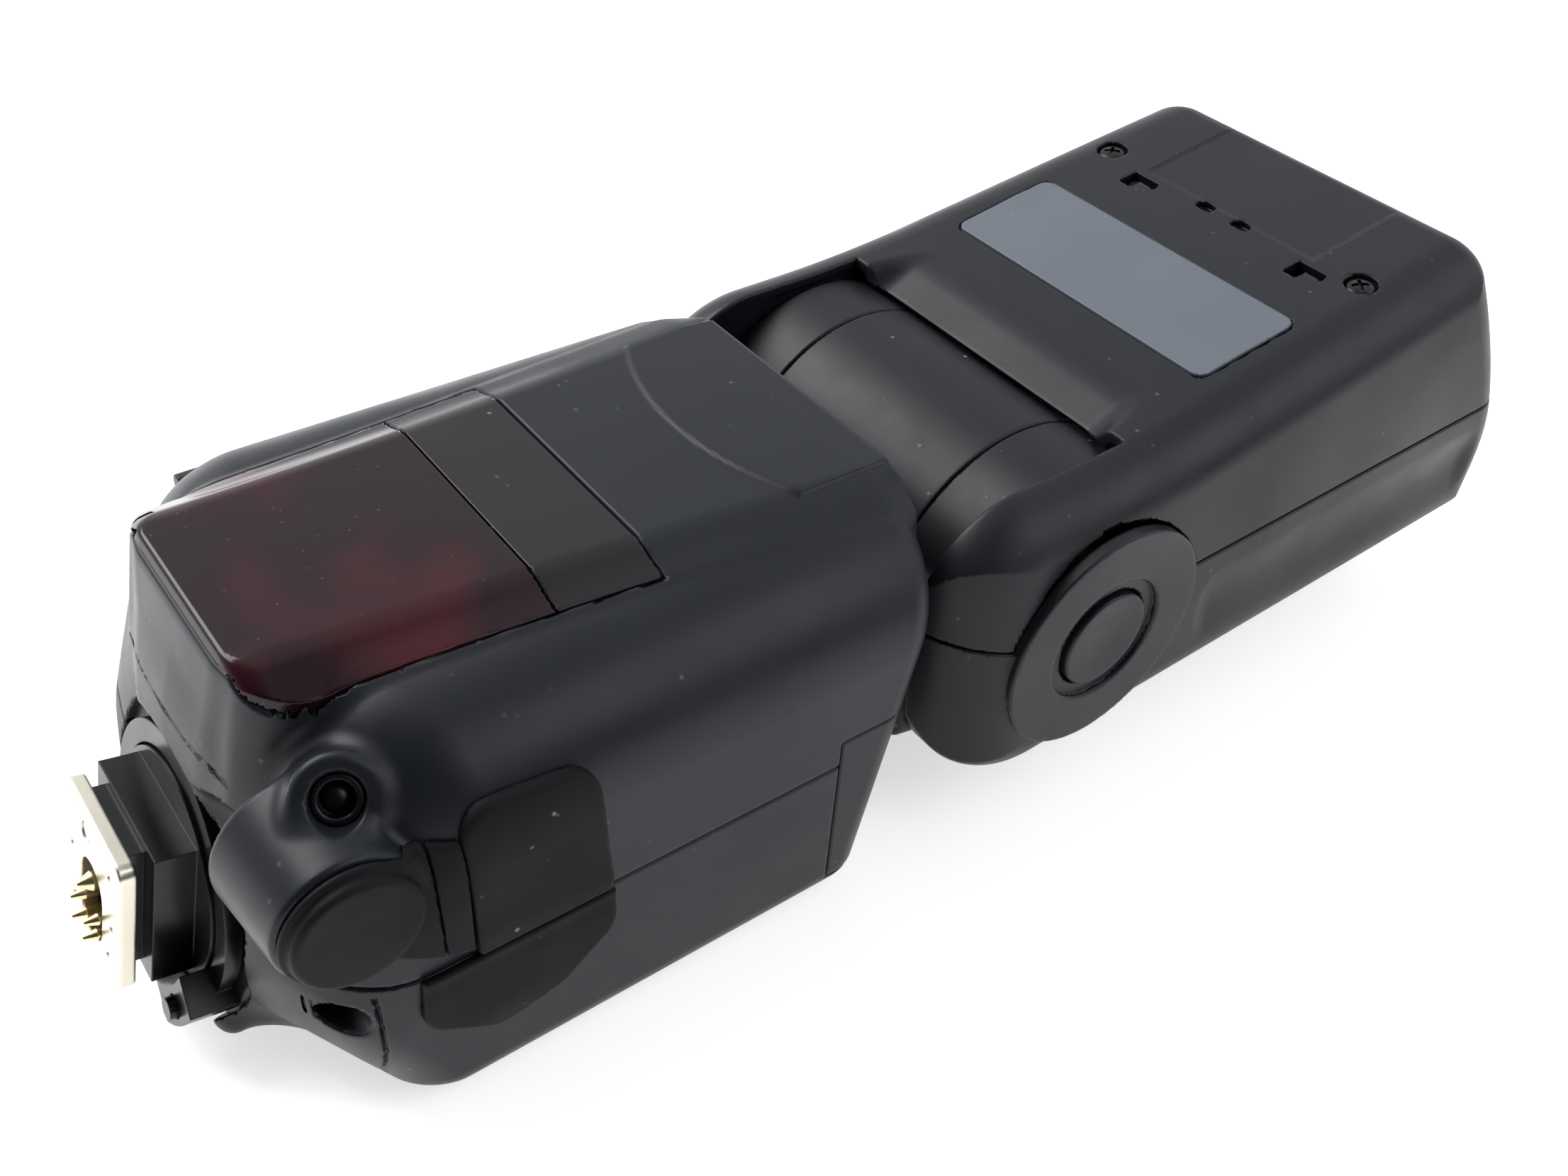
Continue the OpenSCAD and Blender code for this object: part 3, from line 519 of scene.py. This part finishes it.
def pane(x, y, z, x0, x1, grow=0.0):
    """Part of the front block that the windows cover from x0 to x1, or its opening, wider by grow."""
    u = raked(x, z)[0]
    s = np.abs(y)
    side = inter(BASE_U - 0.6 - u - grow, s - width(x) - 5.2 - grow, 8)
    d = body_all(x, y, z) - (1 if grow else 0)
    d = inter(d, np.maximum(side, 50 - z), 0.0 if grow else 0.12)
    d = np.maximum(d, -(roof(x, y, z) + 1.3 + grow))
    return inter(d, np.maximum(x0 - grow - x, x - x1 - grow), 0.15)


def front(x, y, z):
    u, w = raked(x, z)
    d = body_all(x, y, z)
    # Fine line across the foot end
    d = cut(d, np.maximum(np.abs(w - 23.7) - 0.14, np.maximum(BASE_U - u - 1, u - BASE_U - 0.4)))
    d = cut(d, pane(x, y, z, 0, WINDOW_END, 0.16), 0.3)
    d = cut(d, hollow(x, y, z))
    for hole in (sockets, well, neck, door_gap):
        d = cut(d, hole(x, y, z), 0.3)
    d = cut(d, corner(x, y, z, 0.15), 0.25)
    return inter(d, SEAM + 0.1 - z, 0.3)


def rear(x, y, z):
    d = body_all(x, y, z)
    # Seat of the control panel, and its openings
    d = cut(d, box(x, y, z, 19.5, 83.4, -29.2, 29.2, -5, 0.8), 0.3)
    d = cut(d, hollow(x, y, z))
    keys = box(x, y, z, 59.85, 82.15, -26.15, 26.15, -5, 6)
    for k in (-21, -7, 7, 21):
        keys = np.minimum(keys, box(x, y, z, 52.4, 57.6, k - 5.8, k + 5.8, -5, 6))
    for k in (-25, 25):
        keys = np.minimum(keys, rod(x - 46, y - k, z, 3.8, -5, 6))
    keys = np.minimum(keys, rod(x - 37, y, z, 13.8, -5, 6))
    keys = np.minimum(keys, rod(x - 27, y + 23, z, 5.3, -5, 6))
    d = cut(d, keys, 0.2)
    for hole in (sockets, well, neck, door_gap):
        d = cut(d, hole(x, y, z), 0.3)
    d = cut(d, rod(x - BRACKET[0], z - BRACKET[1], y, 2.3, -50, -20), 0.4)
    line = np.maximum(np.maximum(np.abs(x - 19.2) - 0.14, y + 24), z - 24.4)
    d = cut(d, np.maximum(line, -(body_all(x, y, z) + 0.5)), 0.05)
    d = cut(d, corner(x, y, z, 0.15), 0.25)
    return inter(d, z - SEAM + 0.1, 0.3)


def corner_panel(x, y, z):
    d = inter(hull(x, y, z), corner(x, y, z), 0.3)
    d = cut(d, hollow(x, y, z))
    return cut(d, neck(x, y, z), 0.3)


piece("front_housing", front, (5, -40, 24), (104, 38, 60), COARSE, FLAT, "body", BODY,
      ("front_shell", "front_badge"))
piece("rear_housing", rear, (2, -40, -1), (100, 38, 27), COARSE, FLAT, "body", BODY, ("rear_shell",))
piece("rear_corner", corner_panel, (80, -38, 2), (104, -25, 31), FINE, FLAT, "body", BODY,
      ("rear_corner_panel",))
piece("red_window", lambda x, y, z: pane(x, y, z, 0, SPLIT - 0.1), (12, -25, 49), (52, 25, 60), FINE, FLAT,
      "body", RED, ("af_window",))
piece("dark_window", lambda x, y, z: pane(x, y, z, SPLIT + 0.1, WINDOW_END), (49, -26, 49), (65, 26, 60),
      FINE, FLAT, "body", DARK, ("sensor_panel",))


def eye(x, y, z):
    """Ring of the metering lens, with a domed lens inside it."""
    r, t = along_lens(x, y, z)
    ring = cut(inter(r - 2.7, np.abs(t + 1.1) - 1.3, 0.25), r - 1.9, 0.25)
    ball = np.sqrt(r * r + (t + 3.2) ** 2) - 2.3
    return union(ring, np.maximum(ball, -t - 3.4), 0.1)


piece("metering_eye", eye, (15, -36, 42), (27, -22, 55), 0.2, FLAT, "body", GLOSS, ("metering_lens",))


# ---------- rubber covers and battery door ----------

# Outlines as x and z. skin() grows them by COVER_ROUND, which rounds their corners, and both covers stop at
# the fold.
COVER_ROUND = 4
FOLD = 26.05
TOP_COVER = [(34.6, 20), (34.2, 43.2), (42.6, 42.6), (44.2, 20)]
LOW_COVER = [(28.4, 32), (27.4, 20), (33, 16.4), (39, 17.6), (44, 21.6), (44.2, 32)]


def skin(x, y, z, outline, thick):
    """Rubber of that thickness on the near side of the body, inside an outline."""
    d = body_all(x, y, z)
    side = polygon(x, z, outline, COVER_ROUND)
    return inter(inter(side, d - thick, 0.6), np.maximum(0.05 - d, y + 20))


def top_cover(x, y, z):
    swell = 1.15 + 0.3 * np.exp(-((z - 29) / 3.0) ** 2) + 0.25 * np.exp(-((z - 46) / 4.0) ** 2)
    d = inter(skin(x, y, z, TOP_COVER, swell), FOLD + 0.25 - z, 0.5)
    return union(d, rod(x - POWER[0], z - POWER[1], y, 3.8, -36.6, -35.7, 0.2))


def low_cover(x, y, z):
    swell = 1.3 + 0.35 * np.exp(-(((x - 33) / 5) ** 2 + ((z - 16) / 4) ** 2))
    swell = swell - 0.2 * np.exp(-((z - 24.5) / 1.6) ** 2)
    return inter(skin(x, y, z, LOW_COVER, swell), z - FOLD + 0.25, 0.5)


def strap(x, y, z):
    """Band from the sync cap to the power cover."""
    d = polygon(x, z, [(19, 33), (19, 44.6), (31, 42.4), (31.4, 28.6)], 1.3)
    d = inter(d, body_all(x, y, z) - 1.15, 0.4)
    return np.maximum(np.maximum(d, 0.08 - body_all(x, y, z)), y + 30)


def sync_cap(x, y, z):
    r = np.hypot(x - SYNC[0], z - SYNC[1])
    d = inter(r - 8.0, np.abs(y + 35.75) - 0.4, 0.3)
    d = union(d, inter(r - 7.3, np.abs(y + 36.6) - 1.15, 0.8), 0.5)
    d = union(d, np.maximum(strap(x, y, z), x - 26.7), 0.6)
    return union(d, rod(x - SYNC[0], z - SYNC[1], y, 1.8, -35.5, -33.8))


def strap_root(x, y, z):
    """The strap beyond its fold, up to the edge of the power cover."""
    beyond = polygon(x, z, [(30.1, 10), (30.1, 60), (5, 60), (5, 10)])
    return inter(strap(x, y, z), np.maximum(26.9 - x, beyond), 0.1)


piece("upper_cover", top_cover, (28, -40, 24), (51, -30, 54), FINE, FLAT, "power_cover", RUBBER,
      ("power_cover",))
piece("lower_cover", low_cover, (22, -40, 8), (51, -30, 28), FINE, FLAT, "body", RUBBER,
      ("power_cover_anchor",))
piece("sync_cover", sync_cap, (8, -40, 29), (28, -28, 50), FINE, FLAT, "pc_cap", RUBBER, ("pc_cap",))
piece("strap_root", strap_root, (26, -40, 26), (32, -28, 46), FINE, FLAT, "body", RUBBER, ())


def door(x, y, z):
    """Battery door with its two hinge lugs and the seat of its lock."""
    d = hull(x, y, z)
    d = inter(inter(d, -(d + 2.0)), box(x, y, z, 24.2, 66.8, 20, 60, 5.6, 43.1), 0.3)
    for x0 in (27.5, 60.1):
        d = np.minimum(d, rod(y - 34.4, z - 45.6, x, 1.6, x0, x0 + 5.4, 0.2))
        d = np.minimum(d, box(x, y, z, x0, x0 + 5.4, 33.5, 36.0, 42, 45.6, 0.2))
    return cut(d, box(x, y, z, 38.8, 53.2, 35.2, 60, 7.4, 13.6, 0.6), 0.3)


piece("door_cover", door, (23, 26, 4), (68, 38, 48), FINE, FLAT, "battery_door", BODY, ("battery_door",))


# ---------- foot ----------

def foot_plate(x, y, z):
    """Shoe plate, with the slot of its contacts, the pin hole and five rivet pits."""
    d = inter(polygon(y, z, [(-7.5, -8.3), (7.5, -8.3), (7.5, 7.5), (-7.5, 7.5)], 1.8),
              np.abs(x - 1.0) - 1.0, 0.25)
    slot = np.hypot(y, np.maximum(np.abs(z + 3) - 2, 0)) - 3.6
    d = cut(d, slot, 0.15)
    d = cut(d, np.hypot(y - 2, z - 6) - 1.3, 0.1)
    for a, b in ((-5.8, 5.8), (6.6, 0.5), (-6.6, -1.5), (-5.6, -6.6), (5.8, -7)):
        d = cut(d, np.sqrt((y - a) ** 2 + (z - b) ** 2 + (x + 0.25) ** 2) - 0.6, 0.05)
    return d


def base_disc(x, y, z):
    """Lower part of the round plate behind the foot, kept inside the body."""
    u, w = raked(x, z)
    r = np.hypot(y, w)
    d = cut(inter(r - 21.4, np.abs(u - 12.2) - 0.9, 0.3), r - 5)
    return np.maximum(inter(d, -14.5 - w), hull(x, y, z) + 0.8)


def bracket_tube(x, y, z):
    """Lining of the bracket hole, cut off along the body's surface."""
    d = inter(rod(x - BRACKET[0], z - BRACKET[1], y, 3.1, -37, -23, 0.3), hull(x, y, z) + 0.4, 0.2)
    return cut(d, rod(x - BRACKET[0], z - BRACKET[1], y, 2.2, -50, -20), 0.2)


piece("base_disc", base_disc, (6, -22, 2), (22, 22, 44), FINE, FLAT, "body", TRIM, ("base_plate",))
piece("bracket_tube", bracket_tube, (12, -38, 16), (20.4, -22, 25), 0.2, FLAT, "body", TRIM,
      ("bracket_insert",))
piece("shoe_plate", foot_plate, (-1, -10, -10), (3, 10, 10), 0.2, RAKED, "body", FOOT, ("hot_shoe_foot",))


# ---------- turret ----------

def drum(x, y, z):
    """Centre drum of the turret, with the neck that turns in the body."""
    a, b = x - DRUM_U, z - DRUM_W
    d = rod(a, b, y, DRUM_R, -17.3, 17.3, 0.3)
    d = union(d, box(x, y, z, END_U + 2.6, DRUM_U - 6, -17.3, 17.3, DRUM_W - 20, DRUM_W + 4, 1.0), 2)
    d = union(d, rod(y, b, x, 20, END_U + 0.3, END_U + 2.6, 0.3))
    d = union(d, rod(y, b, x, 13, END_U - 6, END_U + 4, 0.2))
    d = cut(d, rod(a, b, y, 12, -13, 13))
    return cut(d, np.hypot(a, b) - 4)


def cheeks(x, y, z):
    a, b, s = x - DRUM_U, z - DRUM_W, np.abs(y)
    d = rod(a, b, s, DRUM_R, 17.5, 28.0, 0.35)
    d = union(d, box(x, s, z, END_U + 8, DRUM_U - 6, 17.5, 28.0, DRUM_W - 20, DRUM_W + 4, 1.5), 2)
    return cut(d, np.hypot(a, b) - 4)


piece("drum", drum, (82, -21, 5), (145, 21, 56), COARSE, RAKED, "turret", TURRET, ("turret_drum",))
piece("cheeks", cheeks, (96, -29, 5), (145, 29, 56), COARSE, RAKED, "turret", TURRET, ("turret_cheeks",))


# ---------- head ----------

def case(x, y, z):
    """Outside of the head with its two ears."""
    s = np.abs(y)
    top = soft_min(z - 24.5 + 0.0324 * (x + 27), (z - 23.3 - 0.1146 * (x - 10)) * 0.9935, 2.0)
    low = -(z + 20.6 - 0.0084 * (x + 27))
    nose = soft_max((x - 92.2) * 0.995 - (z + 19.6) * 0.102, (x - 94) * 0.947 + (z + 2) * 0.321, 3.0)
    d = inter(-27 - x, low, 17)
    d = inter(d, top, 16)
    d = inter(d, nose, 4.5)
    side = soft_max(s - HEAD_HALF, (s - HEAD_HALF) * 0.955 + (z - 12) * 0.296, 5.0)
    return np.maximum(inter(d, side, 7), inter(-27 - x, side, 14))


def turned(x, z, at, tilt):
    """Place in axes that start at a point of the head and are turned by tilt."""
    c, s = math.cos(tilt), math.sin(tilt)
    return (x - at[0]) * c + (z - at[1]) * s, -(x - at[0]) * s + (z - at[1]) * c


def yoke(x, y, z):
    """Room between the ears, for the turret."""
    return inter(np.abs(y) - 28.6, np.minimum(np.hypot(x, z) - DRUM_R - 0.6, x - 8.6))


def disc(x, y, z, grow=0.0):
    return inter(np.hypot(x, z) - DISC_R - grow, y + 33)


def seam(x):
    """Height of the head's parting line, which drops to its strip past the pivot."""
    return STRIP + 3.2 * np.clip((-x - 12) / 14, 0, 1)


def case_open(x, y, z):
    """Both shells of the head together, hollow and open at the yoke and the light."""
    d = case(x, y, z)
    # Scooped edge over the drum
    ramp = (x - 8.6) * 0.41 - (z - 20.6) * 0.91
    d = cut(d, inter(ramp, np.abs(y) - 26.0, 5), 1.0)
    inner = d + 2.0
    inner = np.minimum(np.maximum(inner, 24.6 - x), np.maximum(np.maximum(inner, np.abs(y) - 28.6), -10 - x))
    d = cut(d, inner)
    d = cut(d, yoke(x, y, z), 0.5)
    a, b = turned(x, z, LIGHT_AT, LIGHT_TILT)
    d = cut(d, box(a, y, b, -9, 30, -31, 31, -16.9, 16.9), 0.4)
    return cut(d, rod(x, z, y, 4.05, -60, 60))


def head_front(x, y, z):
    d = case_open(x, y, z)
    a, b = turned(x, z, LABEL_AT, LABEL_TILT)
    # Recess of the label, and the channel that runs to the light opening
    d = cut(d, inter(polygon(a, y, [(2, -24), (18.2, -24.2), (18.2, 24.2), (2, 24)], 2.0), -0.5 - b), 0.1)
    d = cut(d, inter(inter(34 - a, np.abs(y) - 17), -0.28 - b), 0.1)
    # On each side: a screw's seat, an L slot and a small pit
    for k in (-1, 1):
        d = cut(d, rod(a - 34.4, y - k * 25.6, b, 2.5, -1.7, 4), 0.2)
        arm = np.minimum(box(a, y, b, 28.4, 32.4, k * 17 - 1.2, k * 17 + 1.2, -2.4, 4),
                         box(a, y, b, 30.6, 32.4, k * 17 - 4.2, k * 17 + 1.2, -2.4, 4))
        d = cut(d, arm, 0.1)
        pit = np.maximum(np.hypot(a - 32.8, y - k * 3.6) - 1.7, 32.2 - a)
        d = cut(d, np.maximum(pit, -1.4 - b), 0.1)
    d = cut(d, disc(x, y, z, 0.22), 0.2)
    d = cut(d, rod(x, z, y, DISC_R + 0.1, 37.8, 60))
    return inter(d, seam(x) + 0.12 - z, 0.3)


def head_rear(x, y, z):
    d = case_open(x, y, z)
    # Finger groove along the side below the strip
    s = np.abs(y)
    d = cut(d, inter(inter(np.hypot(s - 44.2, (z + 5.5) * 0.8) - 5.6, 21 - x, 3), x - 86, 3), 2.0)
    d = cut(d, box(x, y, z, 42, 120, -28.6, 28.6, -18.1, -14.9), 0.3)
    d = inter(d, z - seam(x) + 0.12, 0.3)
    # Near pivot cover, with the groove round the tilt button
    plate = inter(np.hypot(x, z) - DISC_R, np.maximum(-39.45 - y, y + 37.4), 0.35)
    d = np.minimum(d, np.maximum(plate, np.where(x > 12, z - 60, -1e3)))
    groove = np.abs(np.hypot(x, z) - 8.75) - 1.0
    d = cut(d, np.maximum(groove, y + 38.6), 0.5)
    d = cut(d, rod(x, z, y, 7.75, -60, -34))
    return cut(d, rod(x, z, y, DISC_R + 0.1, 37.8, 60))


piece("head_front", head_front, (-28, -40, 3), (95, 40, 34), COARSE, HEAD, "head", HEADM,
      ("head_front_shell",))
piece("head_rear", head_rear, (-28, -40, -22), (95, 40, 19), COARSE, HEAD, "head", HEADM,
      ("head_rear_shell", "left_pivot_cover"))


def far_cover(x, y, z):
    d = inter(np.hypot(x, z) - DISC_R + 0.05, np.abs(y - 38.65) - 0.8, 0.4)
    return cut(d, inter(np.abs(np.hypot(x, z) - 9) - 0.6, 39.0 - y), 0.2)


def button(x, y, z):
    r = np.hypot(x, z)
    d = inter(r - 7.45, np.abs(y + 38) - 1.5, 0.5)
    return cut(d, np.sqrt(r * r + (y + 68.8) ** 2) - 29.7, 0.6)


piece("far_pivot_cover", far_cover, (-18, 37, -18), (18, 40, 18), FINE, HEAD, "head", HEADM,
      ("right_pivot_cover",))
piece("tilt_button", button, (-9, -41, -9), (9, -35, 9), 0.25, HEAD, "tilt_release", HEADM, ("tilt_release",))


def plate(x, y, z):
    d = polygon(x, y, [(2.1, -23.9), (18.1, -24.0), (18.1, 24.0), (2.1, 23.9)], 1.9)
    return inter(d, np.abs(z + 0.2) - 0.32, 0.08)


piece("label", plate, (-1, -27, -1), (21, 27, 1), 0.25, LABEL, "head", LABELM, ("label_plate",))


def screws(x, y, z):
    """Two domed heads with cross recesses."""
    s = np.abs(y) - 25.6
    r = np.hypot(x - 34.4, s)
    d = inter(np.sqrt(r * r + (z + 5.2) ** 2) - 5.0, np.maximum(r - 2.15, -1.6 - z), 0.2)
    a, b = (x - 34.4) * 0.8 + s * 0.6, s * 0.8 - (x - 34.4) * 0.6
    cross = np.minimum(box(a, b, z, -1.3, 1.3, -0.26, 0.26, -0.9, 2),
                       box(b, a, z, -1.3, 1.3, -0.26, 0.26, -0.9, 2))
    return cut(d, cross, 0.08)


piece("screws", screws, (31, -29, -2), (38, 29, 0.5), 0.14, LABEL, "head", GLOSS, ("head_screws",))


# ---------- surroundings ----------

def floor():
    me = bpy.data.meshes.new("table_top")
    s = 3.0
    me.from_pydata([(-s, -s, 0), (s, -s, 0), (s, s, 0), (-s, s, 0)], [], [(0, 1, 2, 3)])
    mat, t, p = shader("table_white")
    p.inputs["Base Color"].default_value = (0.92, 0.92, 0.92, 1)
    p.inputs["Roughness"].default_value = 0.6
    p.inputs["Emission Color"].default_value = (1, 1, 1, 1)
    p.inputs["Emission Strength"].default_value = 0.62
    me.materials.append(mat)
    o = bpy.data.objects.new("table_top", me)
    o.location = (0, 0, -0.0001)
    bpy.context.scene.collection.objects.link(o)


floor()


def softbox(name, toward, distance, size, watts, colour=(1, 1, 1)):
    """A soft area light that faces the flash from the given direction."""
    data = bpy.data.lights.new(name, "AREA")
    data.shape = "RECTANGLE"
    data.size, data.size_y = size
    data.energy = watts
    data.color = colour
    o = bpy.data.objects.new(name, data)
    d = Vector(toward).normalized()
    o.location = d * distance
    o.rotation_euler = d.to_track_quat("Z", "Y").to_euler()
    bpy.context.scene.collection.objects.link(o)


softbox("back", (-0.35, 0.75, 0.9), 1.3, (0.8, 0.8), 16.0)

world = bpy.data.worlds.new("room")
bpy.context.scene.world = world
world.use_nodes = True
sky = world.node_tree
at = sky.nodes.new("ShaderNodeTexCoord")


def maths(kind, *values):
    n = sky.nodes.new("ShaderNodeMath")
    n.operation = kind
    for k, v in enumerate(values):
        if isinstance(v, (int, float)):
            n.inputs[k].default_value = v
        else:
            sky.links.new(v, n.inputs[k])
    return n.outputs[0]


def patch(toward, inner, outer, gain):
    """Part of the room around one direction: full inside the inner angle, none past the outer one."""
    n = sky.nodes.new("ShaderNodeVectorMath")
    n.operation = "DOT_PRODUCT"
    n.inputs[1].default_value = Vector(toward).normalized()
    sky.links.new(at.outputs["Generated"], n.inputs[0])
    m = sky.nodes.new("ShaderNodeMapRange")
    m.interpolation_type = "SMOOTHSTEP"
    m.inputs["From Min"].default_value = math.cos(math.radians(outer))
    m.inputs["From Max"].default_value = math.cos(math.radians(inner))
    m.inputs["To Max"].default_value = gain
    sky.links.new(n.outputs["Value"], m.inputs["Value"])
    return m.outputs["Result"]


# White room, with a dim side towards the near left, a dark strip near the table and a window of light
room = maths("SUBTRACT", 1.0, patch((-0.49, -0.59, 0.5), 30, 78, 0.95))
room = maths("MULTIPLY", room, maths("SUBTRACT", 1.0, patch((0.5, -0.84, -0.02), 8, 40, 0.9)))
room = maths("ADD", room, patch((0.49, -0.62, 0.62), 8, 30, 2.2))
back = sky.nodes["Background"]
back.inputs["Color"].default_value = (0.93, 0.96, 1.0, 1)
sky.links.new(room, back.inputs["Strength"])

camera = bpy.data.objects.new("camera", bpy.data.cameras.new("camera"))
bpy.context.scene.collection.objects.link(camera)
bpy.context.scene.camera = camera
# The camera looks along ahead, from a point near the foot and above it
CAMERA_AT = (-12.761, -135.517, 170.005)
CAMERA_LENS = 36.06
ahead = Vector((0.48828, 0.58565, -0.64699)).normalized()
up = Vector((0.34713, 0.54986, 0.75971))
right = ahead.cross(up).normalized()
up = right.cross(ahead)
camera.matrix_world = Matrix((
    (right.x, up.x, -ahead.x, (CAMERA_AT[0] - FOOT_X) * 0.001),
    (right.y, up.y, -ahead.y, CAMERA_AT[1] * 0.001),
    (right.z, up.z, -ahead.z, CAMERA_AT[2] * 0.001),
    (0, 0, 0, 1)))
camera.data.sensor_width = 36
camera.data.lens = CAMERA_LENS
camera.data.clip_start = 0.005

scene = bpy.context.scene
scene.view_settings.view_transform = "Standard"
scene.view_settings.exposure = 0.0
scene.render.film_transparent = False
scene.cycles.samples = 160
scene.cycles.use_denoising = True
